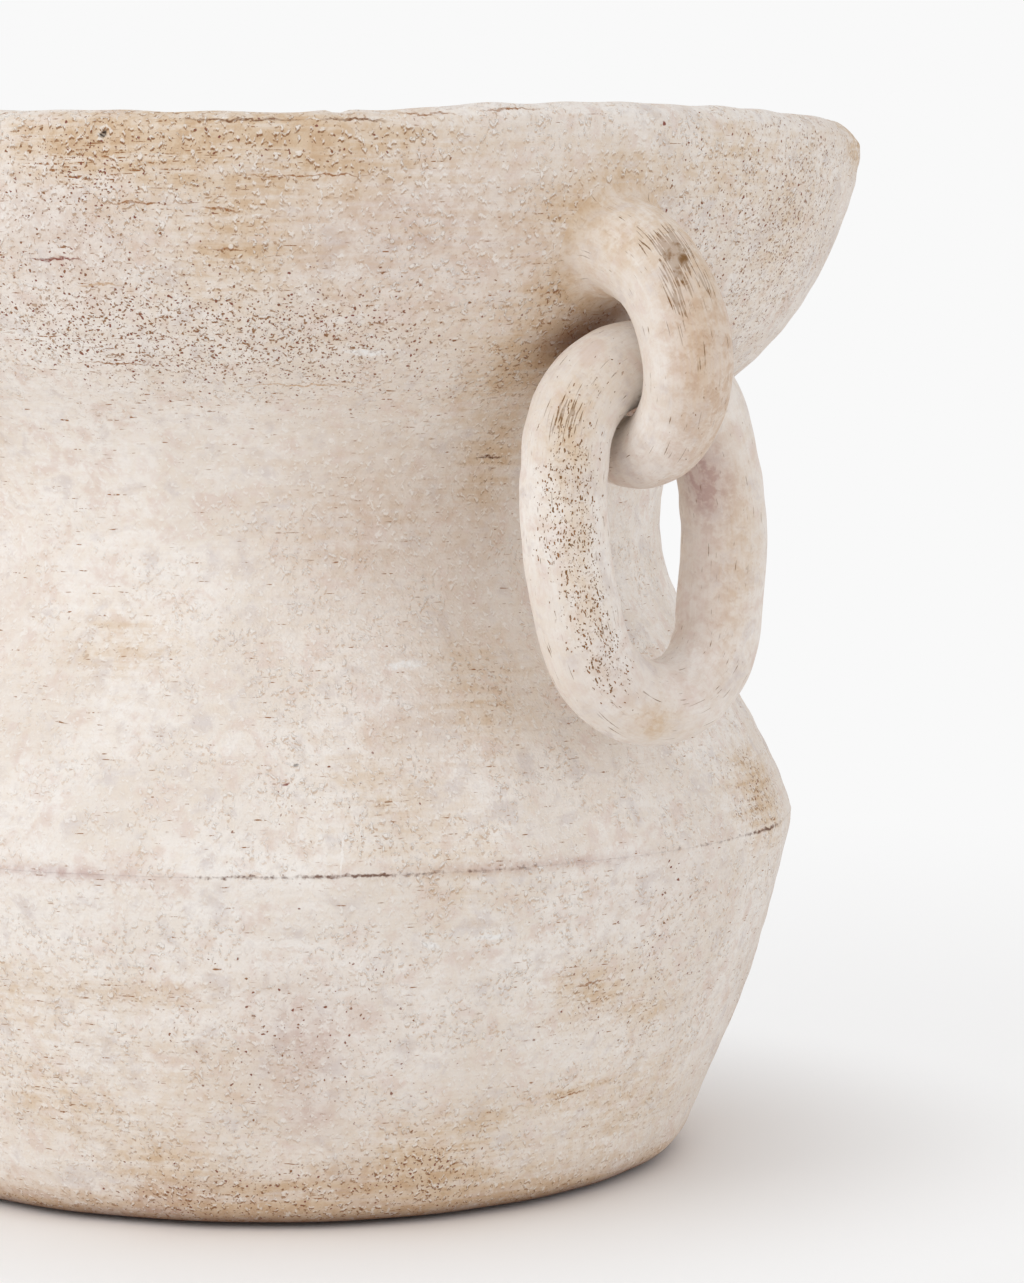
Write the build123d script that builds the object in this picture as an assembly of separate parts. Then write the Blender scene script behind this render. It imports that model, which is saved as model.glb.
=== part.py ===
from build123d import *
from math import cos, radians, sin, sqrt
import os

# A squat terracotta jar with a wide flared mouth and two loose ring handles.
# The jar is thrown in two sections, luted edge to edge at the sharp shoulder. Under the mouth a rolled
# coil is bent to an eye on each side, and an oval ring of the same coil hangs loose in each eye.
# Frame: origin at the centre of the base, +Z up, the lugs on +X and -X. Lengths in mm, angles in degrees.

# Jar, outside
HEIGHT = 300.0
RIM_R = 168.0
WAIST_R = 111.5
WAIST_Z = 184.0
NECK_BEND = 51.0  # radius of the hollow curve round the waist
SHOULDER_R = 150.0
SHOULDER_Z = 100.5
SHOULDER_CROWN = 300.0  # radius of the slight swell between shoulder and neck
BOWL_CROWN = 391.0  # radius of the swell between foot and shoulder
FOOT_R = 116.3  # where the side would meet the base if its edge were sharp
FOOT_ROUND = 10.5

# Jar, wall
WALL = 11.0
FLOOR = 14.0
FLOOR_ROUND = 20.0
LIP_ROUND = 4.0

# Lug: a coil that leaves the wall, bends round half a turn and runs back to the wall
LUG_DROP = 63.8  # middle of the eye below the rim
LUG_COIL_R = 12.0
LUG_ROOT_R = 13.8  # the coil swells where it joins the mouth
LUG_TAIL_R = 9.4  # and thins to its lower end
LUG_SWELL_ANGLE = 50.0  # the part of the bend that the swell takes
LUG_TURN = 100.0  # the bend goes on this far below the horizontal
LUG_TAIL_SWEEP = 12.0  # the lower end curves this far aside on its way into the wall
LUG_SINK = 1.5  # the bend starts this far inside the wall
LUG_TILT = 7.5  # lug and ring lean to one side, as they were stuck on

# Ring
RING_COIL_R = 11.6
RING_BULGE = 2.3  # how far the long sides bow out past the ends' width

# Fits
EYE_ROOM = 3.6  # spare width in the lug's eye round the ring's coil
PLAY = 0.5  # least gap between the loose ring and its lug
RING_CLEAR = 31.3  # the ring ends this far above the shoulder
SEAT_ANGLE = 57.0  # where the ring sits in the eye, below the horizontal


def point(r, z):
    """A point of the section through the axis, at a radius and a height."""
    return Vector(r, 0, z)


def inner_meet(c1, r1, c2, r2):
    """Where two circles in the section cross, on the side of the axis."""
    gap = (c2 - c1).length
    along = (r1**2 - r2**2 + gap**2) / (2 * gap)
    across = sqrt(r1**2 - along**2)
    line = (c2 - c1).normalized()
    foot = c1 + line * along
    side = Vector(-line.Z, 0, line.X) * across
    return min(foot + side, foot - side, key=lambda p: p.X)


def at_height(centre, radius, z):
    """The point of a circle at a height, on the side away from the axis."""
    return point(centre.X + sqrt(radius**2 - (z - centre.Z) ** 2), z)


def towards(start, end, distance):
    """The point at a distance from start on the way to end."""
    return start + (end - start).normalized() * distance


def bend(centre, start, end):
    """The shorter arc about a centre from start to end."""
    radius = (start - centre).length
    middle = towards(centre, (start + end) / 2, radius)
    return ThreePointArc(start, middle, end)


# Centres of the arcs that make up the outer section, each tangent to the next
neck_c = point(WAIST_R + NECK_BEND, WAIST_Z)
seam_edge = point(SHOULDER_R, SHOULDER_Z)
shoulder_c = inner_meet(seam_edge, SHOULDER_CROWN, neck_c, SHOULDER_CROWN + NECK_BEND)
# The mouth's arc meets the neck's tangentially and stands upright at the rim.
flare = RIM_R - WAIST_R
MOUTH_BEND = ((NECK_BEND - flare) ** 2 + (HEIGHT - WAIST_Z) ** 2 - NECK_BEND**2) / (2 * flare)
mouth_c = point(RIM_R - MOUTH_BEND, HEIGHT)
foot_edge = point(FOOT_R, 0)
bowl_c = inner_meet(foot_edge, BOWL_CROWN, seam_edge, BOWL_CROWN)


def upper_line(depth):
    """The upper section's curve from the seam to the rim, at a depth inside the outer face."""
    start = at_height(shoulder_c, SHOULDER_CROWN - depth, SHOULDER_Z)
    hollow = towards(shoulder_c, neck_c, SHOULDER_CROWN - depth)
    flare_out = towards(mouth_c, neck_c, MOUTH_BEND - depth)
    rim = point(RIM_R - depth, HEIGHT)
    arcs = [bend(shoulder_c, start, hollow), bend(neck_c, hollow, flare_out), bend(mouth_c, flare_out, rim)]
    return arcs, start, rim


def turned(edges):
    """A closed section turned round the jar's axis."""
    return revolve(Face(Wire(edges)), Axis.Z)


def rounded(solid, radius, r, z):
    """A turned solid with one of its round edges, at a radius and a height, rounded."""
    edge = solid.edges().sort_by_distance(Vertex(r, 0, z))[0]
    return fillet(edge, radius)


def make_upper_body():
    outer, seam_out, rim_out = upper_line(0)
    inner, seam_in, rim_in = upper_line(WALL)
    body = turned([*outer, Line(rim_out, rim_in), *inner, Line(seam_in, seam_out)])
    body = rounded(body, LIP_ROUND, rim_out.X, HEIGHT)
    return rounded(body, LIP_ROUND, rim_in.X, HEIGHT)


def make_lower_bowl():
    seam_in = upper_line(WALL)[1]
    side = bend(bowl_c, foot_edge, seam_edge)
    floor_edge = at_height(bowl_c, BOWL_CROWN - WALL, FLOOR)
    middle = at_height(bowl_c, BOWL_CROWN - WALL, (FLOOR + SHOULDER_Z) / 2)
    inside = ThreePointArc(seam_in, middle, floor_edge)
    base = point(0, 0)
    floor = point(0, FLOOR)
    edges = [Line(base, foot_edge), side, Line(seam_edge, seam_in), inside]
    edges += [Line(floor_edge, floor), Line(floor, base)]
    bowl = rounded(turned(edges), FOOT_ROUND, FOOT_R, 0)
    return rounded(bowl, FLOOR_ROUND, floor_edge.X, FLOOR)


def make_envelope():
    """All that lies inside the upper section's outer face."""
    outer, seam_out, rim_out = upper_line(0)
    top = point(0, HEIGHT)
    bottom = point(0, SHOULDER_Z)
    return turned([*outer, Line(rim_out, top), Line(top, bottom), Line(bottom, seam_out)])


# Lug and ring, worked out upright in the plane Y = 0 and then leaned over together
EYE_BEND = LUG_COIL_R + RING_COIL_R + EYE_ROOM
EYE_Z = HEIGHT - LUG_DROP
root_z = EYE_Z + EYE_BEND
eye_c = point(at_height(mouth_c, MOUTH_BEND, root_z).X - LUG_SINK, EYE_Z)
lean_axis = Axis((0, 0, root_z), (1, 0, 0))


def on_bend(angle):
    """A point of the lug's bend, at an angle above the horizontal."""
    return eye_c + point(cos(radians(angle)), sin(radians(angle))) * EYE_BEND


def coil_end(angle, radius):
    """The coil's round section across its bend at an angle."""
    across = Vector(-sin(radians(angle)), 0, cos(radians(angle)))
    return Plane(on_bend(angle), x_dir=(0, 1, 0), z_dir=across) * Circle(radius)


def coil_bend(top, bottom, top_r, bottom_r):
    """A stretch of the lug's bend between two angles, its radius changing evenly."""
    path = bend(eye_c, on_bend(top), on_bend(bottom))
    return sweep([coil_end(top, top_r), coil_end(bottom, bottom_r)], path=path, multisection=True)


def coil_root():
    """The straight upper end, from the start of the bend into the wall."""
    length = eye_c.X - WAIST_R + WALL
    return extrude(coil_end(90, LUG_ROOT_R), length, dir=(-1, 0, 0))


def coil_tail():
    """The lower end, from the end of the bend into the wall, curving aside in a wide arc."""
    start = on_bend(-LUG_TURN)
    inward = Vector(-sin(radians(LUG_TURN)), 0, -cos(radians(LUG_TURN)))
    end = start + inward * (start.X - WAIST_R + WALL) + Vector(0, LUG_TAIL_SWEEP, 0)
    return sweep(coil_end(-LUG_TURN, LUG_TAIL_R), path=TangentArc(start, end, tangent=inward))


def make_lug(envelope):
    swell_end = 90 - LUG_SWELL_ANGLE
    coil = coil_root()
    coil += coil_bend(90, swell_end, LUG_ROOT_R, LUG_COIL_R)
    coil += coil_bend(swell_end, 0, LUG_COIL_R, LUG_COIL_R)
    coil += coil_bend(0, -LUG_TURN, LUG_COIL_R, LUG_TAIL_R)
    coil += coil_tail()
    return coil.rotate(lean_axis, LUG_TILT) - envelope


# The ring's coil lies against the lower, outer part of the eye.
seat_coil_r = LUG_COIL_R - (LUG_COIL_R - LUG_TAIL_R) * SEAT_ANGLE / LUG_TURN
ring_top = towards(eye_c, on_bend(-SEAT_ANGLE), EYE_BEND - seat_coil_r - RING_COIL_R - PLAY)
RING_END_BEND = RING_COIL_R + LUG_COIL_R + PLAY
RING_HALF_WIDTH = RING_END_BEND + RING_BULGE
RING_HALF_LENGTH = (ring_top.Z - RING_COIL_R - RING_CLEAR - SHOULDER_Z) / 2


def make_ring():
    end_c = RING_HALF_LENGTH - RING_END_BEND
    side_bend = (end_c**2 + RING_HALF_WIDTH**2 - RING_END_BEND**2) / (2 * RING_BULGE)
    side_c = side_bend - RING_HALF_WIDTH
    middle = ring_top - Vector(0, 0, RING_HALF_LENGTH)
    path = []
    joins = []
    for y, z in ((1, 1), (1, -1), (-1, -1), (-1, 1)):
        side_centre = middle - Vector(0, y * side_c, 0)
        joins.append(towards(side_centre, middle + Vector(0, 0, z * end_c), side_bend))
    for i, (y, z) in enumerate(((1, 0), (0, -1), (-1, 0), (0, 1))):
        centre = middle + Vector(0, -y * side_c, z * end_c)
        path.append(bend(centre, joins[i], joins[(i + 1) % 4]))
    section = Plane(ring_top, x_dir=(1, 0, 0), z_dir=(0, 1, 0)) * Circle(RING_COIL_R)
    return sweep(section, path=Wire(path)).rotate(lean_axis, LUG_TILT)


envelope = make_envelope()
lug = make_lug(envelope)
ring = make_ring()
nodes = {
    "lower_bowl": make_lower_bowl(),
    "upper_body": make_upper_body(),
    "lug_right": lug,
    "ring_right": ring,
    "lug_left": lug.rotate(Axis.Z, 180),
    "ring_left": ring.rotate(Axis.Z, 180),
}
os.makedirs("parts", exist_ok=True)
for name, solid in nodes.items():
    export_step(solid, f"parts/{name}.step")
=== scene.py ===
from math import cos, pi, radians, sin, sqrt
import bpy
import numpy as np
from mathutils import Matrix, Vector


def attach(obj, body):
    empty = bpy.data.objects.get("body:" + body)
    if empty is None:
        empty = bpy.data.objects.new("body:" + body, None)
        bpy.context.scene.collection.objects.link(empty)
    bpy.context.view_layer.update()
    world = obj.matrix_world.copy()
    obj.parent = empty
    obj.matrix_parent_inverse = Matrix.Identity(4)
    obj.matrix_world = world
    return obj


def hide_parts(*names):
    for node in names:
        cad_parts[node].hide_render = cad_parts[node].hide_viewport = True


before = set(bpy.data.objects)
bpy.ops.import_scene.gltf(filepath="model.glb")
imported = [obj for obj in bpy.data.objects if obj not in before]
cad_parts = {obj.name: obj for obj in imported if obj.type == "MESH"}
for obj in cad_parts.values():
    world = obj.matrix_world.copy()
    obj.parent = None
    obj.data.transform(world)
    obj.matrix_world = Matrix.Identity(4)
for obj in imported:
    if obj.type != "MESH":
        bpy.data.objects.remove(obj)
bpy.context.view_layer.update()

# A hand-made terracotta jar, lime-washed, with a loose ring hanging in a coil lug on each side.
# Lengths are in mm and become metres in the meshes. Azimuths are degrees round the jar from the right lug.
MM = 0.001
# Kinds of marks that the meshes carry; several of them also carry painted shade in places
KINDS = ("stain_and_shade", "pits", "mauve_and_shade", "dash", "crack", "smooth", "thick_lime_and_shade", "bare_clay_and_shade")

# The turned section, as (radius, height): the points that its arcs join, and their centres
SEAM = (150.0, 100.5)
NECK_START = (120.4, 155.2)
NECK_END = (131.1, 224.2)
BOWL_C = (-234.142, 173.412)
SHOULDER_C = (-127.241, -14.12)
NECK_C = (162.5, 184.0)
MOUTH_C = (71.67, 300.0)
MOUTH_BEND = 96.33
RIM_R = 168.0
RIM_Z = 300.0
WALL = 11.0
SEAM_IN = (138.06, 100.5)
SEAM_FACE = [(142.0, 100.5), (146.0, 100.5)]  # across the flat face of the seam
SEAM_EDGE = (149.0, 100.5)
OUTER_R = 139.0  # at the seam's height, points further out than this are on the outer face
LIP_START = 292.0  # the wall turns over into the lip here
# The lip's bevelled section: across, in half walls from its middle outwards, and up
LIP = [(1.0, 0.0), (1.01, 5.0), (0.25, 7.8), (-0.4, 7.7), (-1.0, 3.6), (-1.0, 0.0)]
# The bevel is deeper in places: how much at an azimuth
LIP_SLANTS = [(-60, 0.0), (20, 0.0), (38, 1.8), (52, 3.2), (70, 2.2), (100, 0.4), (160, 1.0), (220, 0.2)]
FOOT_FLAT = (98.0, 0.0)
FOOT_UNDER = (113.8, 1.61)  # the foot's edge stands this far clear of the floor
FOOT_C = (106.04, 15.6)
FOOT_TOP = (120.554, 8.867)
INSIDE_C = (-234.88, 173.412)
FLOOR_SIDE = (115.4, 26.3)
FLOOR_C = (97.0, 34.0)
FLOOR_EDGE = (97.0, 14.0)
FLOOR_MIDDLE = (60.0, 14.4)
POLE = 0.4  # the last ring of points round the axis
FLOOR_RISE = 14.8  # the floor's height at the axis
# The rim isn't level: how far it dips at an azimuth
RIM_DIPS = [
    (-62, 1.4), (-43, 1.9), (-31, 2.4), (-24, 1.6), (-16, 0.0), (-5, -1.1), (6, -1.4), (20, -0.8),
    (60, 0.4), (110, 1.2), (150, 0.2), (200, -0.8), (250, 0.6),
]

# How the thrown section is worn and uneven
STILL_R = 30.0  # the swells start at this radius
STILL_FADE = 60.0  # and are full this much further out
SEAM_ROUND = 0.5  # the shoulder's edge is worn down by this
SEAM_ROUND_REACH = 3.0
CRACK_DEPTH = 0.05
CRACK_REACH = 0.5
DROP_FROM = 270.0  # the rim's dips start at this height
DROP_RUN = 28.0
RIM_LEVEL = 0.5  # the rim is this much under the full height
RIM_RIPPLE = 0.18
SLANT_FROM = 160.0  # the bevel's slant starts at this radius
SLANT_RUN = 7.0
CHIPS = 18
MARK_R = 140.0  # a mark's reach round is measured at this radius
UNSEEN = (50, 285)  # azimuths of the sides that the photograph doesn't show
STREWN = (5, 295)  # heights of the marks there
ROWS_START = radians(147)  # the rows of points start on the far side

# Steps between the points of the surfaces
ARC_STEP = 0.2
OUTER_STEP = 1.9
LIP_STEP = 0.9
INNER_STEP = 5.0
SEAM_STEP = 0.12
SEAM_GROWTH = 0.3  # the step grows by this share of the distance from the seam
AROUND = 512

# Lug and ring, upright and before they lean
EYE = (159.28, 236.2)
EYE_BEND = 27.2
ROOT_Z = 263.4
LUG_END = 100.0
TAIL_RUN = 54.06
TAIL_SWEEP = 12.0
COIL_SIZES = ((0.0, 13.8), (23.7, 12.0), (42.7, 12.0), (90.2, 9.4))  # radius at a distance along the lug
RING_TOP = (161.77, 232.36)
RING_END_BEND = 24.1
RING_HALF = (26.4, 44.48)
RING_COIL = 11.6
SIDE_PRESS = 2.2  # one long side is pressed in by this
PRESS_AT = 24.0  # most at this far under the ring's middle
PRESS_REACH = 16.0
PRESS_SIDE = 20.0
END_SAG = 1.2  # the lower end hangs down by this
SAG_RUN = 40.0
SAG_REACH = 20.0
COIL_INSET = 0.12  # the coils are this much thinner, so that their bumps stay inside the solids
GRAIN_R = 12.0  # the coil's radius for patterns that run along it
LEAN = radians(7.5)
ROOT_FILLET = 5.0
TAIL_FILLET = 4.0
ROOT_SEARCH = (-15, 45)  # the coil leaves the wall between these distances along it
TAIL_SEARCH = (150, 60)  # and comes back to it between these
SEARCH_STEPS = 800
SMEAR_DEPTH = 0.3  # the smear ends this far inside the wall
SMEAR_SINK = 4.0  # and closes this far inside it
SMEAR_ROWS = 12
ALONG_LUG = 130
ALONG_RING = 320
ROUND_COIL = 72


def arc(centre, start, end):
    """Points close together, at even angles, on the shorter arc about a centre from start to end."""
    c, p, q = (np.array(x, float) for x in (centre, start, end))
    first = np.arctan2(p[1] - c[1], p[0] - c[0])
    turn = (np.arctan2(q[1] - c[1], q[0] - c[0]) - first + pi) % (2 * pi) - pi
    radius = np.linalg.norm(p - c)
    angle = first + np.linspace(0, turn, int(abs(turn) * radius / ARC_STEP) + 2)
    return c + radius * np.stack([np.cos(angle), np.sin(angle)], axis=1)


def inset(point, centre, depth):
    """A point moved by a depth towards a centre."""
    p, c = np.array(point, float), np.array(centre, float)
    return p + (c - p) / np.linalg.norm(c - p) * depth


def worn(line):
    """A line with its corners rubbed off: each is cut a quarter of the way along, four times over."""
    for _ in range(4):
        early = 0.75 * line[:-1] + 0.25 * line[1:]
        late = 0.25 * line[:-1] + 0.75 * line[1:]
        line = np.vstack([line[:1], np.stack([early, late], axis=1).reshape(-1, 2), line[-1:]])
    return line


def spaced(lines):
    """Lines laid end to end, each with its own step, as points at which distance over step runs evenly."""
    points = np.concatenate([line for line, _ in lines])
    step = np.concatenate([np.full(len(line), size) for line, size in lines])
    near_seam = np.where(step == OUTER_STEP, np.abs(points[:, 1] - SEAM[1]), np.inf)
    step = np.minimum(step, SEAM_STEP + SEAM_GROWTH * near_seam)
    gap = np.linalg.norm(np.diff(points, axis=0), axis=1)
    run = np.concatenate([[0], np.cumsum(gap / step[1:])])
    at = np.linspace(0, run[-1], int(run[-1]) + 1)
    return np.interp(at, run, points[:, 0]), np.interp(at, run, points[:, 1])


def waves(azimuth, height, turns, rise, count, seed):
    """Uneven swelling: a sum of cosines, each with a whole number of turns round and its own rise."""
    dice = np.random.default_rng(seed)
    total = np.zeros(np.broadcast(azimuth, height).shape)
    for _ in range(count):
        across = dice.integers(turns[0], turns[1] + 1) * azimuth
        total += np.cos(across + dice.uniform(-1, 1) * 2 * pi / rise * height + dice.uniform(0, 2 * pi))
    return total * sqrt(2 / count)


def hand(azimuth, height):
    """How far the thrown wall stands out from its section: slow swells, finger marks, throwing lines."""
    slow = 0.5 * waves(azimuth, height, (1, 5), 220, 10, 1)
    marks = 0.2 * waves(azimuth, height, (7, 24), 38, 26, 2)
    lines = 0.1 * waves(azimuth, height, (0, 3), 7, 14, 3)
    return slow + marks + lines


def wall_radius(azimuth, height):
    """The outer wall's radius at an azimuth and a height, as it was thrown."""
    return np.interp(height, outer_line[:, 1], outer_line[:, 0]) + hand(azimuth, height)


def field(azimuth, height, marks):
    """How strongly points of the wall are marked: a sum of bells that fade with distance round and up."""
    total = np.zeros(azimuth.shape)
    for place, level, across, up, strength in marks:
        turn = (azimuth - radians(place) + pi) % (2 * pi) - pi
        total += strength * np.exp(-((turn * MARK_R / across) ** 2) - ((height - level) / up) ** 2)
    return total


def on_coil(along, angle, marks):
    """The same on a coil, where a mark has a distance along, an angle round, and a reach in each."""
    total = np.zeros(along.shape)
    for place, turned, reach, spread, strength in marks:
        turn = (angle - radians(turned) + pi) % (2 * pi) - pi
        total += strength * np.exp(-(((along - place) / reach) ** 2) - (turn / radians(spread)) ** 2)
    return total


def scattered(count, seed, reach, up, strength):
    """Marks strewn over the sides that the photograph doesn't show."""
    dice = np.random.default_rng(seed)
    place = dice.uniform(*UNSEEN, count)
    level = dice.uniform(*STREWN, count)
    spread = [dice.uniform(*limits, count) for limits in (reach, up, strength)]
    return list(zip(place, level, *spread))


def leaned(points):
    """Points turned about the X direction through the lug's root, as the lug and ring lean."""
    x, y, z = points[..., 0], points[..., 1], points[..., 2] - ROOT_Z
    return np.stack([x, y * cos(LEAN) - z * sin(LEAN), ROOT_Z + y * sin(LEAN) + z * cos(LEAN)], axis=-1)


def turned_grid(radius, height, azimuth):
    """A grid of points from radii and heights at azimuths."""
    return np.stack([radius * np.cos(azimuth), radius * np.sin(azimuth), height], axis=-1)


def make_piece(name, grid, closed, body, node, marks, material, coil=None):
    """A closed surface over a grid of rows that close round, with a fan over each open end."""
    rows, cols = grid.shape[:2]
    index = np.arange(rows * cols).reshape(rows, cols)
    low, high = (index, np.roll(index, -1, axis=0)) if closed else (index[:-1], index[1:])
    corners = [low, np.roll(low, -1, axis=1), np.roll(high, -1, axis=1), high]
    quads = np.stack(corners, axis=-1).reshape(-1, 4)
    points = grid.reshape(-1, 3)
    values = {key: value.reshape(-1) for key, value in marks.items()}
    ends = [] if closed else [index[0], index[-1][::-1]]
    fans = []
    for end in ends:
        tip = np.full(cols, len(points))
        points = np.vstack([points, points[end].mean(axis=0)])
        fans.append(np.stack([np.roll(end, -1), end, tip], axis=1))
        values = {key: np.append(value, value[end].mean()) for key, value in values.items()}
    a, b, c = points[quads[:, 0]], points[quads[:, 1]], points[quads[:, 2]]
    d = points[quads[:, 3]]
    outward = np.einsum("ij,ij->", a, np.cross(b, c)) + np.einsum("ij,ij->", a, np.cross(c, d))
    faces = quads.tolist() + [face for fan in fans for face in fan.tolist()]
    if outward < 0:
        faces = [face[::-1] for face in faces]
    mesh = bpy.data.meshes.new(name)
    mesh.from_pydata((points * MM).tolist(), [], faces)
    mesh.shade_smooth()
    for key, value in values.items():
        layer = mesh.attributes.new(key, "FLOAT", "POINT")
        layer.data.foreach_set("value", value.astype(np.float32))
    if coil is not None:
        spare = np.zeros((len(points) - rows * cols, 3))
        layer = mesh.attributes.new("coil", "FLOAT_VECTOR", "POINT")
        vectors = np.vstack([coil.reshape(-1, 3), spare]) * MM
        layer.data.foreach_set("vector", vectors.astype(np.float32).ravel())
    mesh.materials.append(material)
    piece = bpy.data.objects.new(name, mesh)
    bpy.context.scene.collection.objects.link(piece)
    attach(piece, body)
    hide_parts(node)
    return piece


def linear(colour):
    """An sRGB hex colour as linear red, green, blue and alpha."""
    values = [int(colour[i : i + 2], 16) / 255 for i in (1, 3, 5)]
    return [v / 12.92 if v <= 0.04045 else ((v + 0.055) / 1.055) ** 2.4 for v in values] + [1.0]


def add(tree, kind, inputs=(), out=0, **settings):
    """Adds a shader node, sets or links its inputs by name or number, and gives one of its outputs."""
    made = tree.nodes.new("ShaderNode" + kind)
    for key, value in settings.items():
        setattr(made, key, value)
    for key, value in inputs.items() if isinstance(inputs, dict) else enumerate(inputs):
        if isinstance(value, bpy.types.NodeSocket):
            tree.links.new(value, made.inputs[key])
        else:
            made.inputs[key].default_value = value
    return made.outputs[out] if made.outputs else made


# Colours of the finish
LIME_WHITE = "#f6f1eb"
LIME_CREAM = "#ede5dc"
LILAC = "#dcd3cf"
ROSE = "#e4d4cb"
OCHRE = "#e0c8a6"
TAN = "#c9a98a"
MAUVE = "#c3a8a2"
RUST = "#a0724d"
CLAY = "#97704f"
SIENNA = "#82603c"
BROWN = "#876246"
UMBER = "#704b38"
OXIDE = "#8b5347"
SOOT = "#2c211c"
DAB = "#f4f2ef"

# Single strokes on the wall: azimuth, height, half length, half thickness, tilt from the level, colour
STROKE_DEPTH = 6.0  # they stay on the outer face
STROKES = [
    (-4.4, 207.1, 4.4, 0.35, 2, UMBER),
    (-48.2, 291.6, 1.4, 0.8, 30, SOOT),
    (-36.0, 294.8, 15.0, 0.4, 0, BROWN),
    (-26.5, 294.9, 8.0, 0.4, 0, BROWN),
    (-20.0, 296.6, 8.0, 0.3, 2, RUST),
    (-12.0, 298.2, 9.0, 0.3, 2, RUST),
    (-54.0, 260.0, 8.0, 0.28, 0, OXIDE),
    (-30.5, 281.0, 17.0, 0.25, 0, RUST),
    (-38.0, 272.5, 5.0, 0.3, -6, RUST),
    (-45.5, 274.0, 8.0, 0.3, 0, RUST),
    (-37.5, 262.5, 5.0, 0.3, 0, RUST),
    (-50.0, 253.5, 6.0, 0.3, 0, TAN),
    (-50.0, 233.0, 9.0, 0.25, 0, RUST),
    (-31.5, 227.5, 14.0, 0.2, 0, TAN),
    (-17.2, 152.5, 6.0, 0.9, 4, DAB),
    (-17.5, 81.0, 3.0, 1.0, -20, DAB),
    (-10.9, 82.1, 5.5, 0.8, 4, DAB),
    (-24.0, 236.0, 6.0, 0.9, 0, DAB),
    (-26.8, 107.0, 7.0, 0.3, 82, LIME_WHITE),
    (-31.3, 128.2, 0.5, 0.45, 0, SOOT),
    (-32.4, 123.8, 1.2, 0.4, 10, OXIDE),
    (3.9, 295.0, 0.55, 0.55, 0, OXIDE),
    (3.6, 33.7, 6.0, 0.3, 6, RUST),
    (3.0, 66.0, 6.0, 0.3, 4, RUST),
]


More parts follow.
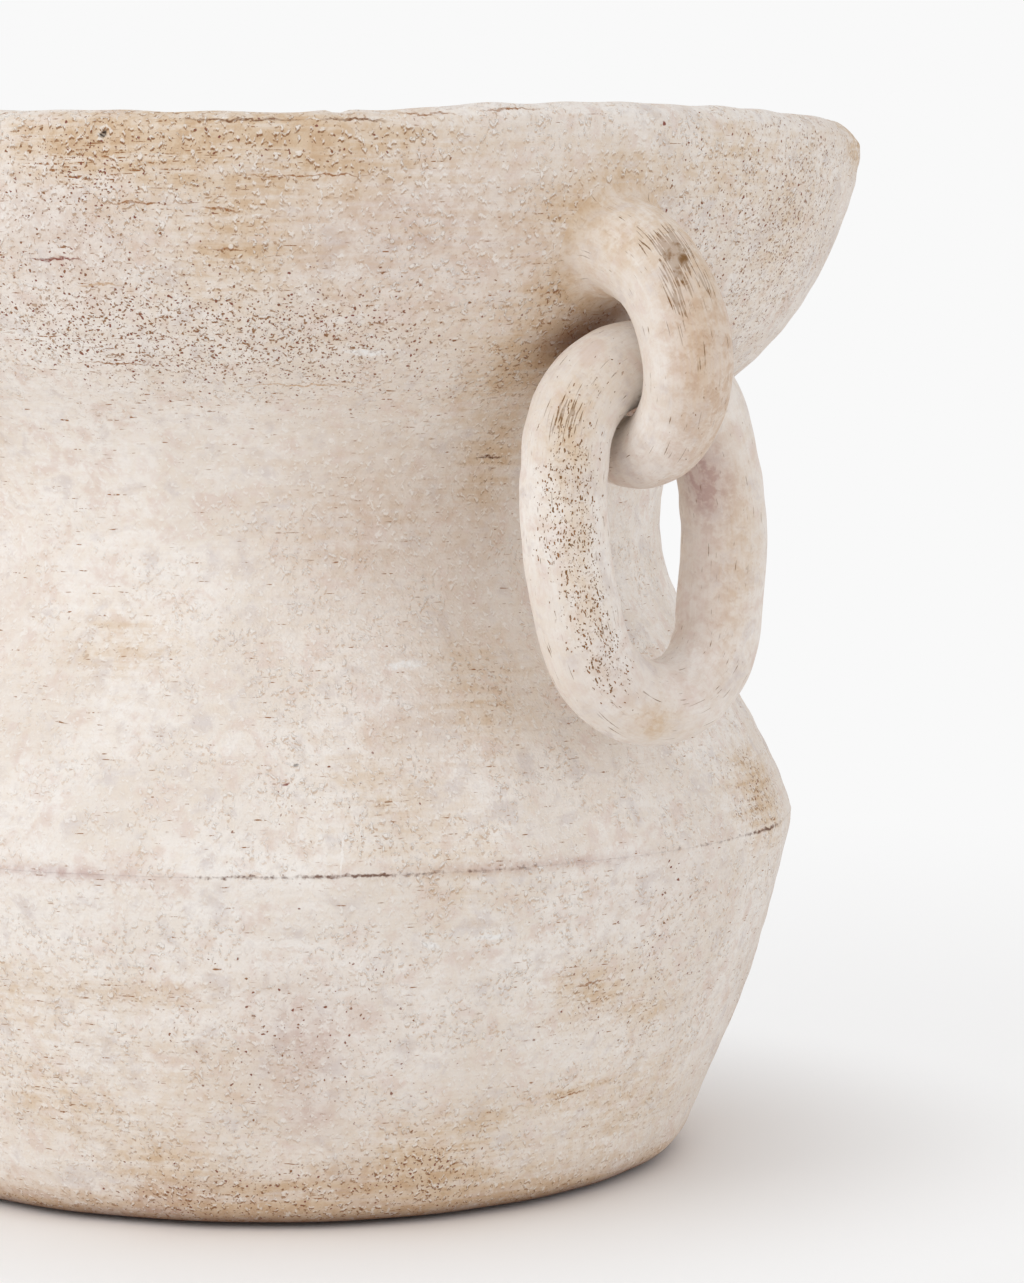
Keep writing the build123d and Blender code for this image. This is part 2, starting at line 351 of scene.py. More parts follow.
def limewash(name, on_wall):
    """Limewash brushed over rough, low-fired terracotta, then rubbed and stained.

    It gives the eye a chalky, matte, cream skin mottled with rose and lilac, with raised crumbs of
    limewash that are whitened partly by a heavier coat and partly as a painted highlight, a painted shadow
    beneath their lower edges, tan on plain limewash and clay brown where stained, rusty scratches along
    the wheel or the brush, and brown pits."""
    material = bpy.data.materials.new(name)
    material.use_nodes = True
    tree = material.node_tree
    tree.nodes.clear()
    here = add(tree, "TexCoord", out="Object")
    mark = {key: add(tree, "Attribute", out="Fac", attribute_name=key) for key in KINDS}
    if on_wall:
        grain = add(tree, "Mapping", {"Vector": here, "Scale": (0.09, 0.09, 1.0)})
        pit_grain, pit_size = here, 0.95
        brush, coarse, scratch, lined, chalk_and_highlight, fleck = 2.4, 1.0, 0.45, 0.75, 0.6, 0.2
    else:
        coil = add(tree, "Attribute", out="Vector", attribute_name="coil")
        grain = add(tree, "Mapping", {"Vector": coil, "Scale": (1.0, 1.0, 0.1)})
        pit_grain, pit_size = add(tree, "Mapping", {"Vector": coil, "Scale": (1.0, 1.0, 0.6)}), 0.62
        brush, coarse, scratch, lined, chalk_and_highlight, fleck = 0.9, 0.2, 0.42, 0.3, 0.1, 0.27
    # A point 0.55 mm higher: the noise there finds a crumb just above, for the painted shadow beneath each
    # crumb.
    below = add(tree, "VectorMath", [here, (0, 0, 0.55 * MM)], operation="ADD")
    # Each pattern's size in mm, its detail, its roughness and its warp.
    # Grit is drawn coarser than real so that it shows.
    noise = {}
    for key, vector, size, detail, rough, warp in (
        ("cloud", here, 34.0, 3.0, 0.55, 0.4),
        ("mottle", here, 9.0, 4.0, 0.65, 0.3),
        ("blot", here, 4.0, 3.0, 0.65, 0.2),
        ("crumb", here, 1.4, 2.0, 0.55, 0.4),
        ("crumb_shadow", below, 1.4, 2.0, 0.55, 0.4),
        ("patch", here, 13.0, 1.0, 0.5, 0.0),
        ("grit", here, 0.7, 0.0, 0.5, 0.0),
        ("streak", grain, brush, 4.0, 0.65, 0.0),
        ("dash", grain, scratch, 0.0, 0.5, 0.0),
    ):
        scale = 1 / (size * MM)
        settings = {"Vector": vector, "Scale": scale, "Detail": detail}
        settings |= {"Roughness": rough, "Distortion": warp}
        noise[key] = add(tree, "TexNoise", settings)
    jog = add(tree, "VectorMath", [noise["blot"].node.outputs["Color"], (0.5,) * 3], operation="SUBTRACT")
    ragged = add(tree, "VectorMath", [jog, (3.0 * MM,) * 3, here], operation="MULTIPLY_ADD")
    pit_place = add(tree, "VectorMath", [jog, (3.0 * MM,) * 3, pit_grain], operation="MULTIPLY_ADD")
    pin = add(tree, "TexVoronoi", {"Vector": pit_place, "Scale": 1 / (pit_size * MM)})
    pin_kind = add(tree, "SeparateColor", [pin.node.outputs["Color"]]).node.outputs
    pin_size = add(tree, "Math", [pin_kind[0], 2.0], operation="POWER")
    pin_size = add(tree, "Math", [pin_size, 0.28, fleck], operation="MULTIPLY_ADD")
    level = {
        "pin": add(tree, "Math", [pin_size, pin], operation="SUBTRACT"),
        "pinned": add(tree, "Math", [mark["pits"], pin_kind[1]], operation="SUBTRACT"),
        "dash": add(tree, "Math", [mark["dash"], 0.22, noise["dash"]], operation="MULTIPLY_ADD"),
        "white": add(tree, "Math", [mark["thick_lime_and_shade"], 0.2, noise["cloud"]], operation="MULTIPLY_ADD"),
    }
    # Where a pattern shows: from nothing at the first number to all at the second
    shows = {}
    for key, source, low, high in (
        ("white", level["white"], 0.42, 0.62),
        ("lilac", noise["mottle"], 0.5, 0.3),
        ("rose", noise["mottle"], 0.5, 0.68),
        ("streak", noise["streak"], 0.36, 0.66),
        ("blot", noise["blot"], 0.4, 0.66),
        ("crumb", noise["crumb"], 0.57, 0.67),
        ("gap", noise["crumb"], 0.56, 0.42),
        ("crumb_shadow", noise["crumb_shadow"], 0.55, 0.65),
        ("rough", noise["patch"], 0.4, 0.64),
        ("dash", level["dash"], 0.77, 0.84),
        ("pin", level["pin"], 0.0, 0.14),
        ("pinned", level["pinned"], -0.02, 0.03),
    ):
        shows[key] = add(tree, "MapRange", [source, low, high, 0.0, 1.0], interpolation_type="SMOOTHSTEP")
    # The painted shadow beneath each crumb: where a crumb lies just above but not here.
    edges = [shows["crumb_shadow"], shows["crumb"]]
    shows["crumb_shadow"] = add(tree, "Math", edges, operation="SUBTRACT", use_clamp=True)
    stain_and_shade_tint = add(tree, "Math", [shows["streak"], lined, 1 - 0.87 * lined], operation="MULTIPLY_ADD")
    stain_and_shade_tint = add(tree, "Math", [stain_and_shade_tint, mark["stain_and_shade"]], operation="MULTIPLY", use_clamp=True)
    plain = add(tree, "Math", [1.0, mark["smooth"]], operation="SUBTRACT", use_clamp=True)
    rough = add(tree, "Math", [shows["rough"], 0.8, 0.2], operation="MULTIPLY_ADD")
    rough = add(tree, "Math", [rough, plain], operation="MULTIPLY")
    grime_and_shadow = add(tree, "Math", [mark["pits"], 0.6, stain_and_shade_tint], operation="MULTIPLY_ADD", use_clamp=True)
    flecked = add(tree, "Math", [stain_and_shade_tint, 0.8, 0.14], operation="MULTIPLY_ADD", use_clamp=True)
    smudge = add(tree, "Math", [shows["blot"], 0.6, 0.4], operation="MULTIPLY_ADD")
    for key, first, second in (
        ("mauve_and_shade", smudge, mark["mauve_and_shade"]),
        ("pin", shows["pin"], shows["pinned"]),
        ("crumb", shows["crumb"], rough),
        ("crumb_shadow", shows["crumb_shadow"], rough),
        # The painted shadow beneath the crumbs turns clay brown where the wall is stained or pitted:
        # partly dirt, partly painted shadow.
        ("grime_and_shadow", shows["crumb_shadow"], grime_and_shadow),
        ("grime_and_shadow", None, coarse),
        ("crumb_shadow", None, 0.6 * coarse),
        ("fleck", shows["blot"], flecked),
        ("tan", stain_and_shade_tint, smudge),
        ("dash", shows["dash"], shows["gap"] if on_wall else smudge),
        ("bare_clay_and_shade", mark["bare_clay_and_shade"], 1.0),
        ("white", shows["white"], 0.85),
        ("lilac", shows["lilac"], 0.75),
        ("rose", shows["rose"], 0.75),
        ("streak", shows["streak"], 0.09),
        ("ochre", stain_and_shade_tint, 0.7),
        ("tan", None, 0.75),
        # The crumbs are whitened: partly a heavier coat of limewash on their tops, partly a painted
        # highlight.
        ("lime_and_highlight", shows["crumb"], chalk_and_highlight),
    ):
        first = first or shows[key]
        shows[key] = add(tree, "Math", [first, second], operation="MULTIPLY", use_clamp=True)
    # Seam crack: a thin wandering line at the seam's height, where the mark says that it has opened
    height = add(tree, "SeparateXYZ", [ragged], out="Z")
    off_seam = add(tree, "Math", [height, SEAM[1] * MM], operation="SUBTRACT")
    off_seam = add(tree, "Math", [off_seam], operation="ABSOLUTE")
    line = [off_seam, 0.7 * MM, 0.15 * MM, 0.0, 0.9]
    seam_near = add(tree, "MapRange", line, interpolation_type="SMOOTHSTEP")
    open_seam = add(tree, "Math", [noise["blot"], 0.9, mark["crack"]], operation="MULTIPLY_ADD")
    open_seam = add(tree, "Math", [noise["crumb"], 1.1, open_seam], operation="MULTIPLY_ADD")
    open_seam = add(tree, "MapRange", [open_seam, 1.2, 1.7, 0.0, 1.0], interpolation_type="SMOOTHSTEP")
    shows["crack"] = add(tree, "Math", [seam_near, open_seam], operation="MULTIPLY")
    pin_ends = (CLAY, OXIDE) if on_wall else (SIENNA, RUST)
    pin_mix = {0: pin_kind[2], 6: linear(pin_ends[0]), 7: linear(pin_ends[1])}
    pin_colour = add(tree, "Mix", pin_mix, out=2, data_type="RGBA")
    skin = linear(LIME_CREAM)
    for key, colour in (
        ("white", linear(LIME_WHITE)),
        ("lilac", linear(LILAC)),
        ("rose", linear(ROSE)),
        ("streak", linear(TAN)),
        ("fleck", linear(OCHRE)),
        ("mauve_and_shade", linear(MAUVE)),
        ("ochre", linear(OCHRE)),
        ("tan", linear(TAN)),
        ("crumb_shadow", linear(TAN)),
        ("grime_and_shadow", linear(CLAY)),
        ("lime_and_highlight", linear(LIME_WHITE)),
        ("dash", linear(RUST if on_wall else SIENNA)),
        ("pin", pin_colour),
        ("crack", linear(UMBER)),
        ("bare_clay_and_shade", linear(UMBER)),
    ):
        skin = add(tree, "Mix", {0: shows[key], 6: skin, 7: colour}, out=2, data_type="RGBA")
    broken = add(tree, "Math", [shows["gap"], 0.4, 0.6], operation="MULTIPLY_ADD")
    for place, at, half, thick_lime_and_shade, tilt, colour in STROKES if on_wall else []:
        centre = turned_grid(wall_radius(radians(place), at), at, radians(place)) * MM
        frame_of = {"Vector": ragged, "Location": centre, "Rotation": (radians(tilt), 0, radians(place))}
        frame_of["Scale"] = (STROKE_DEPTH * MM, half * MM, thick_lime_and_shade * MM)
        local = add(tree, "Mapping", frame_of, vector_type="TEXTURE")
        away = add(tree, "VectorMath", [local], out="Value", operation="LENGTH")
        stroke = add(tree, "MapRange", [away, 1.3, 0.5, 0.0, broken], interpolation_type="SMOOTHSTEP")
        skin = add(tree, "Mix", {0: stroke, 6: skin, 7: linear(colour)}, out=2, data_type="RGBA")
    # Relief in mm: crumbs stand up, pits, scratches and cracks go in, grit and brush lines lie over it all
    relief = add(tree, "Math", [noise["grit"], 0.14 * coarse], operation="MULTIPLY")
    for key, depth in (("crumb", 0.25 * coarse), ("pin", -0.15), ("dash", -0.08), ("crack", -0.1)):
        relief = add(tree, "Math", [shows[key], depth, relief], operation="MULTIPLY_ADD")
    relief = add(tree, "Math", [noise["crumb"], 0.2 * coarse, relief], operation="MULTIPLY_ADD")
    relief = add(tree, "Math", [noise["streak"], 0.16, relief], operation="MULTIPLY_ADD")
    bump = add(tree, "Bump", {"Strength": 0.8, "Distance": MM, "Height": relief})
    shader = {"Base Color": skin, "Roughness": 0.92, "Specular IOR Level": 0.2, "Normal": bump}
    add(tree, "OutputMaterial", {"Surface": add(tree, "BsdfPrincipled", shader)})
    return material


shoulder_arc = arc(SHOULDER_C, SEAM, NECK_START)
neck_arc = arc(NECK_C, NECK_START, NECK_END)
mouth_arc = arc(MOUTH_C, NECK_END, (RIM_R, RIM_Z))
bowl_arc = arc(BOWL_C, FOOT_TOP, SEAM)
outer_line = np.concatenate([bowl_arc[:-1], shoulder_arc, neck_arc, mouth_arc])
wall_finish = limewash("limewashed_terracotta_wall", True)
coil_finish = limewash("limewashed_terracotta_coil", False)

# Marks on the wall: azimuth, height, reach round and up, strength
# Painted shade among these: the band all round at height 3 along the foot's lower edge, (-1, 240) in the
# lug's eye, (15, 220) in the crevice where the ring crosses the lug, and (-6, 190) and (-22, 192) on the
# wall beside the ring.
STAINS_AND_SHADES = [
    (-50, 289, 16, 8, 0.9), (-40, 291, 26, 6, 1.1), (-28, 290, 24, 6, 0.9), (-37, 262, 10, 12, 0.7),
    (-33, 281, 30, 7, 0.5), (-4, 249, 12, 12, 0.9), (-6, 232, 16, 14, 0.8), (-5, 271, 9, 8, 0.8),
    (2, 283, 14, 6, 0.5), (-4, 207, 8, 12, 0.8), (-54, 158, 16, 7, 0.5), (34, 110, 16, 11, 1.2),
    (26, 272, 18, 26, 0.3), (46, 294, 16, 7, 0.7), (-8, 145, 16, 12, 0.5), (-48, 17, 16, 10, 0.7),
    (-37, 9, 18, 8, 0.7), (-25, 11, 20, 10, 0.9), (14, 286, 14, 10, 0.5), (-30, 3, 900, 5.5, 0.9),
    (-15, 17, 15, 12, 1.3), (-60, 36, 18, 10, 0.45), (-8, 29, 7, 5, 0.5), (-63, 66, 16, 10, 0.4),
    (-42, 44, 26, 18, 0.2), (-50, 68, 22, 4, 0.35), (3, 64, 12, 7, 0.7), (13, 57, 12, 6, 0.6),
    (4, 34, 14, 4, 0.5), (-5, 10, 22, 9, 0.5), (14, 24, 30, 16, 0.4), (-14, 100, 14, 12, 0.25),
    (-22, 120, 16, 14, 0.3), (-25, 265, 70, 28, 0.3), (-1, 240, 9, 8, 0.8), (15, 220, 12, 7, 0.8),
    (-6, 190, 16, 20, 0.2), (-22, 192, 28, 18, 0.25),
]
PITS = [
    (-40, 240, 34, 10, 1.6), (-52, 243, 22, 9, 1.0), (-52, 270, 24, 18, 0.5), (-50, 285, 14, 8, 0.5),
    (-35, 288, 30, 6, 0.3), (-30, 240, 24, 10, 0.6), (-20, 238, 26, 14, 0.2), (26, 266, 28, 28, 0.8),
    (8, 255, 16, 24, 0.25), (-38, 10, 34, 10, 0.55), (-47, 9, 10, 5, 0.4), (-15, 13, 14, 10, 0.8),
    (-31, 56, 30, 22, 0.2), (8, 62, 26, 14, 0.2), (-28, 125, 36, 24, 0.04), (16, 85, 22, 18, 0.12),
    (34, 108, 14, 10, 0.4),
]
# Painted shade among these: the band all round at height 3 along the foot's lower edge, (-1, 240) in the
# lug's eye, (15, 220) in the crevice where the ring crosses the lug, and (-6, 185) and (-22, 190) on the
# wall beside the ring.
MAUVES_AND_SHADES = [
    (-23, 268, 30, 18, 0.42), (-56, 100.5, 24, 1.8, 0.8), (-30, 58, 30, 22, 0.15),
    (-31, 54, 10, 12, 0.4), (-30, 34, 8, 8, 0.4), (-17, 140, 18, 18, 0.2), (-12, 101, 22, 1.6, 0.6),
    (0, 100.5, 22, 1.5, 0.5), (10, 92, 25, 12, 0.15), (-47, 9, 12, 6, 1.0), (-24, 13, 12, 6, 0.8),
    (-36, 9, 16, 6, 0.4), (-30, 3, 900, 5.5, 0.8), (-10, 262, 40, 22, 0.18), (-1, 240, 8, 8, 0.8),
    (15, 220, 12, 7, 0.6), (-6, 185, 18, 24, 0.2), (-22, 190, 28, 20, 0.3), (-52, 266, 20, 16, 0.35),
]
DASHES = [
    (-50, 282, 14, 8, 0.6), (-38, 272, 14, 5, 0.5), (-44, 286, 20, 5, 0.5), (-50, 236, 24, 5, 0.5),
    (-48, 68, 24, 3, 0.6), (2, 64, 14, 4, 0.6), (14, 57, 10, 3, 0.6), (-45, 222, 40, 6, 0.4),
    (-20, 226, 30, 5, 0.3), (-56, 40, 26, 10, 0.3),
]
CRACKS = [
    (-38, 100.5, 14, 5, 0.4), (-26, 100.5, 16, 5, 0.6), (-12, 100.5, 22, 5, 0.35),
    (4, 100.5, 20, 5, 0.15), (20, 100.5, 16, 5, 0.3), (32, 100.5, 14, 5, 0.6),
]
SMOOTHS = [(-30, 205, 900, 16, 0.8), (-65, 140, 60, 60, 0.5), (-30, 6, 900, 16, 0.6)]
# Umber at the foot: unwashed clay beneath it, and painted shade along its edge against the floor.
BARE_CLAY_AND_SHADES = [(-30, 0, 9000, 3.4, 1.0)]
# Painted shade in each lug's eye behind the ring, and in the crevice where the ring crosses the lug.
for eye in (0, 180):
    BARE_CLAY_AND_SHADES += [(eye - 2, 237, 9, 5, 0.5), (eye, 241, 8, 5, 0.5)]
    BARE_CLAY_AND_SHADES += [(eye + 3, 246.5, 8, 5, 0.6), (eye + 17.6, 218.5, 7, 5, 0.65)]
# The negative marks at (-22, 190) and (-5, 180) thin the coat as painted shade on the wall beside the
# ring; (-60, 55) makes the bowl's lower left lighter.
THICK_LIME_AND_SHADES = [
    (-30, 300, 900, 3, 1.2), (-60, 55, 45, 36, 1.0), (-55, 200, 60, 80, 0.4), (-22, 190, 28, 20, -1.2),
    (-5, 180, 20, 30, -0.4),
]
STAINS_AND_SHADES += scattered(46, 11, (16, 44), (5, 16), (0.15, 0.55))
PITS += scattered(24, 12, (14, 34), (8, 20), (0.2, 0.9))
MAUVES_AND_SHADES += scattered(22, 13, (16, 32), (8, 20), (0.1, 0.25))
DASHES += scattered(30, 14, (10, 26), (3, 8), (0.3, 0.6))
for place, share in ((70, 0.2), (110, 0.5), (160, 0.4), (205, 0.6), (255, 0.3)):
    CRACKS.append((place, SEAM[1], 18, 5, share))
WALL_MARKS = dict(zip(KINDS, (STAINS_AND_SHADES, PITS, MAUVES_AND_SHADES, DASHES, CRACKS, SMOOTHS, THICK_LIME_AND_SHADES, BARE_CLAY_AND_SHADES)))


def wall_marks(azimuth, height):
    """Every kind of mark at points of the wall."""
    return {key: field(azimuth, height, marks) for key, marks in WALL_MARKS.items()}


azimuth = np.linspace(-pi, pi, AROUND, endpoint=False) + ROWS_START


def jar_rows(radius, height):
    """Rows of the turned section, swollen by hand, rounded at the seam, wavy and chipped at the lip."""
    r, z = radius[:, None], height[:, None]
    a = azimuth[None, :]
    swell = hand(a, z) * np.clip((r - STILL_R) / STILL_FADE, 0, 1)
    off = np.abs(z - SEAM[1])
    outer = r > OUTER_R
    opened = CRACK_DEPTH * field(a, np.full_like(a, SEAM[1]), CRACKS)
    rounding = SEAM_ROUND * np.exp(-((off / SEAM_ROUND_REACH) ** 2))
    rounding = rounding + opened * np.exp(-((off / CRACK_REACH) ** 2))
    new_r = r + swell - rounding * outer
    lip = np.clip((z - DROP_FROM) / DROP_RUN, 0, 1) ** 2
    chips = np.random.default_rng(21)
    place, dip = np.array(RIM_DIPS).T
    drop = RIM_LEVEL + np.interp(np.degrees(a), place, dip, period=360)
    drop = drop + RIM_RIPPLE * waves(a, 0.0, (16, 60), 1, 24, 23)
    place, dip = np.array(LIP_SLANTS).T
    slant = np.clip((r - SLANT_FROM) / SLANT_RUN, 0, 1)
    drop = drop + np.interp(np.degrees(a), place, dip, period=360) * slant
    for place in chips.uniform(-pi, pi, CHIPS):
        turn = (a - place + pi) % (2 * pi) - pi
        drop = drop + chips.uniform(0.3, 1.0) * np.exp(-((turn * RIM_R / chips.uniform(1.5, 6)) ** 4))
    return new_r, z - lip * drop


def make_upper_body():
    """The upper section turned round the axis: rows of a radius and a height, columns of an azimuth.

    The rows go from the seam up the outside, over the lip and down the inside."""
    lip_r = MOUTH_C[0] + sqrt(MOUTH_BEND**2 - (RIM_Z - LIP_START) ** 2)
    inner_r = MOUTH_C[0] + sqrt((MOUTH_BEND - WALL) ** 2 - (RIM_Z - LIP_START) ** 2)
    mid, half = (lip_r + inner_r) / 2, (lip_r - inner_r) / 2
    lip = worn(np.array(LIP)) * (half, 1) + (mid, LIP_START)
    inner_end = inset(NECK_END, NECK_C, -WALL)
    inner_start = inset(NECK_START, NECK_C, -WALL)
    radius, height = spaced([
        (shoulder_arc, OUTER_STEP),
        (neck_arc[1:], OUTER_STEP),
        (arc(MOUTH_C, NECK_END, (lip_r, LIP_START))[1:], OUTER_STEP),
        (lip[1:], LIP_STEP),
        (arc(MOUTH_C, (inner_r, LIP_START), inner_end)[1:], INNER_STEP),
        (arc(NECK_C, inner_end, inner_start)[1:], INNER_STEP),
        (arc(SHOULDER_C, inner_start, SEAM_IN)[1:], INNER_STEP),
        (np.array([*SEAM_FACE, SEAM_EDGE]), INNER_STEP),
    ])
    r, z = jar_rows(radius, height)
    grid = turned_grid(r, z, np.broadcast_to(azimuth, r.shape))
    marks = wall_marks(np.broadcast_to(azimuth, r.shape), z)
    # The painted shade behind the lugs stays on the outer face.
    marks["bare_clay_and_shade"] *= r > wall_radius(azimuth, z) - WALL / 2
    return make_piece("thrown_upper_body", grid, True, "jar", "upper_body", marks, wall_finish)


def make_lower_bowl():
    """The lower section, turned in the same way.

    The rows go from the middle of the base up the outside to the seam and down the inside to the floor."""
    radius, height = spaced([
        (np.array([(POLE, 0.0), FOOT_FLAT]), INNER_STEP),
        (np.array([FOOT_UNDER]), LIP_STEP),
        (arc(FOOT_C, FOOT_UNDER, FOOT_TOP)[1:], LIP_STEP),
        (bowl_arc[1:], OUTER_STEP),
        (np.array([*SEAM_FACE[::-1], SEAM_IN]), INNER_STEP),
        (arc(INSIDE_C, SEAM_IN, FLOOR_SIDE)[1:], INNER_STEP),
        (arc(FLOOR_C, FLOOR_SIDE, FLOOR_EDGE)[1:], INNER_STEP),
        (np.array([FLOOR_MIDDLE, (POLE, FLOOR_RISE)]), INNER_STEP),
    ])
    r, z = jar_rows(radius, height)
    grid = turned_grid(r, z, np.broadcast_to(azimuth, r.shape))
    marks = wall_marks(np.broadcast_to(azimuth, r.shape), z)
    return make_piece("thrown_lower_bowl", grid, False, "jar", "lower_bowl", marks, wall_finish)


def lug_surface(along, angle, seed):
    """Points of the lug's coil: a straight root, a bend round the eye, and a tail that curves aside.

    The coil's section is round, its radius follows the sizes along it, and it is a little uneven."""
    bend_run = EYE_BEND * radians(90 + LUG_END)
    root = np.minimum(along, 0)
    turn = pi / 2 - np.clip(along, 0, bend_run) / EYE_BEND
    tail = np.maximum(along - bend_run, 0)
    sweep = (TAIL_RUN**2 + TAIL_SWEEP**2) / (2 * TAIL_SWEEP)
    inward = (-sin(radians(LUG_END)), -cos(radians(LUG_END)))
    ahead, aside = sweep * np.sin(tail / sweep), sweep * (1 - np.cos(tail / sweep))
    x = EYE[0] + EYE_BEND * np.cos(turn) + root + inward[0] * ahead
    z = EYE[1] + EYE_BEND * np.sin(turn) + inward[1] * ahead
    distance, size = np.array(COIL_SIZES).T
    uneven = 0.12 * waves(angle, along, (1, 3), 26, 8, seed)
    uneven = uneven + 0.08 * waves(angle, along, (2, 6), 9, 10, seed + 1)
    radius = np.interp(along, distance, size) - COIL_INSET + np.clip(uneven, -0.2, 0.1)
    out, side = radius * np.cos(angle), radius * np.sin(angle)
    x = x + out * np.cos(turn) - side * inward[0] * np.sin(tail / sweep)
    z = z + out * np.sin(turn) - side * inward[1] * np.sin(tail / sweep)
    return leaned(np.stack([x, aside + side * np.cos(tail / sweep), z], axis=-1))


def wall_meeting(first, last, angle, seed):
    """How far along the coil each of its lines goes through the wall, going from first to last."""
    along = np.linspace(first, last, SEARCH_STEPS)
    points = lug_surface(along[:, None], angle[None, :], seed)
    azimuth_at = np.arctan2(points[..., 1], points[..., 0])
    outside = np.hypot(points[..., 0], points[..., 1]) > wall_radius(azimuth_at, points[..., 2])
    return along[np.argmax(outside, axis=0)]


def smeared(meeting, step, reach, angle, seed):
    """Rows from the wall up to the coil, where the joint was smeared: a curve pulled to the joint."""
    joint = lug_surface(meeting, angle, seed)
    coil = lug_surface(meeting + step * reach, angle, seed)
    place = np.arctan2(joint[:, 1], joint[:, 0])
    radius = np.hypot(joint[:, 0], joint[:, 1])
    across, up = (place - place.mean()) * radius, joint[:, 2] - joint[:, 2].mean()
    far = np.hypot(across, up)
    place = place + reach * across / far / radius
    level = joint[:, 2] + reach * up / far
    foot = turned_grid(wall_radius(place, level) - SMEAR_DEPTH, level, place)
    sunk = turned_grid(wall_radius(place, level) - SMEAR_SINK, level, place)
    t = np.linspace(0, 1, SMEAR_ROWS)[:, None, None]
    rows = (1 - t) ** 2 * foot + 2 * t * (1 - t) * joint + t**2 * coil
    return np.concatenate([sunk[None], rows])


def make_lug(name, node, side, seed, marks):
    """A lug: its coil at distances along and angles round, with its ends smeared onto the wall."""
    angle = np.linspace(0, 2 * pi, ROUND_COIL, endpoint=False)
    start = wall_meeting(*ROOT_SEARCH, angle, seed)
    stop = wall_meeting(*TAIL_SEARCH, angle, seed)
    top = smeared(start, 1, ROOT_FILLET, angle, seed)
    bottom = smeared(stop, -1, TAIL_FILLET, angle, seed)[::-1]
    share = np.linspace(0, 1, ALONG_LUG)[1:-1, None]
    along = (1 - share) * (start + ROOT_FILLET) + share * (stop - TAIL_FILLET)
    grid = np.concatenate([top, lug_surface(along, angle[None, :], seed), bottom])
    run = np.concatenate([
        start + np.linspace(0, ROOT_FILLET, len(top))[:, None],
        along,
        stop + np.linspace(-TAIL_FILLET, 0, len(bottom))[:, None],
    ])
    on_wall = np.linspace(1, 0, len(top)), np.zeros(len(along)), np.linspace(0, 1, len(bottom))
    smeared_share = np.concatenate(on_wall)[:, None]
    return coil_piece(name, grid, False, "jar", node, run, angle, side, marks, smeared_share)


def ring_line():
    """The ring's centre line, upright: four tangent arcs, two round ends and two sides that bow out."""
    wide, long = RING_HALF
    end_c = long - RING_END_BEND
    side_bend = (end_c**2 + wide**2 - RING_END_BEND**2) / (2 * (wide - RING_END_BEND))
    side_c = side_bend - wide
    join = inset((-side_c, 0.0), (0.0, end_c), side_bend)
    corner = [join * (1, 1), join * (1, -1), join * (-1, -1), join * (-1, 1)]
    centres = [(-side_c, 0.0), (0.0, -end_c), (side_c, 0.0), (0.0, end_c)]
    line = np.concatenate([arc(centres[i], corner[i], corner[(i + 1) % 4])[1:] for i in range(4)])
    line = np.roll(line, -int(np.argmax(line[:, 1])), axis=0)
    closed = np.vstack([line, line[:1]])
    run = np.concatenate([[0], np.cumsum(np.linalg.norm(np.diff(closed, axis=0), axis=1))])
    at = np.linspace(0, run[-1], ALONG_RING, endpoint=False)
    return at, run[-1], np.interp(at, run, closed[:, 0]), np.interp(at, run, closed[:, 1])


def make_ring(name, body, node, side, seed, marks):
    """A ring: an uneven round section, at angles round, carried along the centre line after its bends."""
    angle = np.linspace(0, 2 * pi, ROUND_COIL, endpoint=False)
    run, total, y, z = ring_line()
    # Bent by hand: one long side is pressed in near its lower end, and the lower end hangs further down.
    y = y - SIDE_PRESS * np.clip(y / PRESS_SIDE, 0, 1) * np.exp(-(((z + PRESS_AT) / PRESS_REACH) ** 2))
    z = z - END_SAG * np.clip(-z / SAG_RUN, 0, 1) * np.exp(-((y / SAG_REACH) ** 2))
    ahead = np.stack([np.roll(y, -1) - np.roll(y, 1), np.roll(z, -1) - np.roll(z, 1)], axis=1)
    ahead /= np.linalg.norm(ahead, axis=1)[:, None]
    turn = (run / total * 2 * pi)[:, None]
    uneven = 0.15 * waves(turn, angle * GRAIN_R, (1, 6), 40, 12, seed)
    uneven += 0.1 * waves(turn, angle * GRAIN_R, (8, 24), 14, 14, seed + 1)
    radius = RING_COIL - COIL_INSET + np.clip(uneven, -0.3, 0.1)
    out, flat = radius * np.cos(angle), radius * np.sin(angle)
    points = np.stack([
        RING_TOP[0] + flat,
        y[:, None] + out * ahead[:, 1:],
        RING_TOP[1] - RING_HALF[1] + z[:, None] - out * ahead[:, :1],
    ], axis=-1)
    run = np.broadcast_to(run[:, None], radius.shape)
    return coil_piece(name, leaned(points), True, body, node, run, angle, side, marks)


def coil_piece(name, grid, closed, body, node, run, angle, side, marks, smeared_share=0.0):
    """A coil on the right, or turned half round onto the left, with marks and the coordinates along it.

    Where it was smeared onto the wall, it takes its share of the wall's marks."""
    around = np.broadcast_to(angle, run.shape)
    run = np.broadcast_to(run, around.shape)
    grid = grid * (side, side, 1)
    values = {key: on_coil(run, around, marks.get(key, [])) for key in KINDS}
    on_wall = wall_marks(np.arctan2(grid[..., 1], grid[..., 0]), grid[..., 2])
    values = {key: values[key] + smeared_share * on_wall[key] for key in KINDS}
    coil = np.stack([GRAIN_R * np.cos(around), GRAIN_R * np.sin(around), run], axis=-1)
    return make_piece(name, grid, closed, body, node, values, coil_finish, coil)


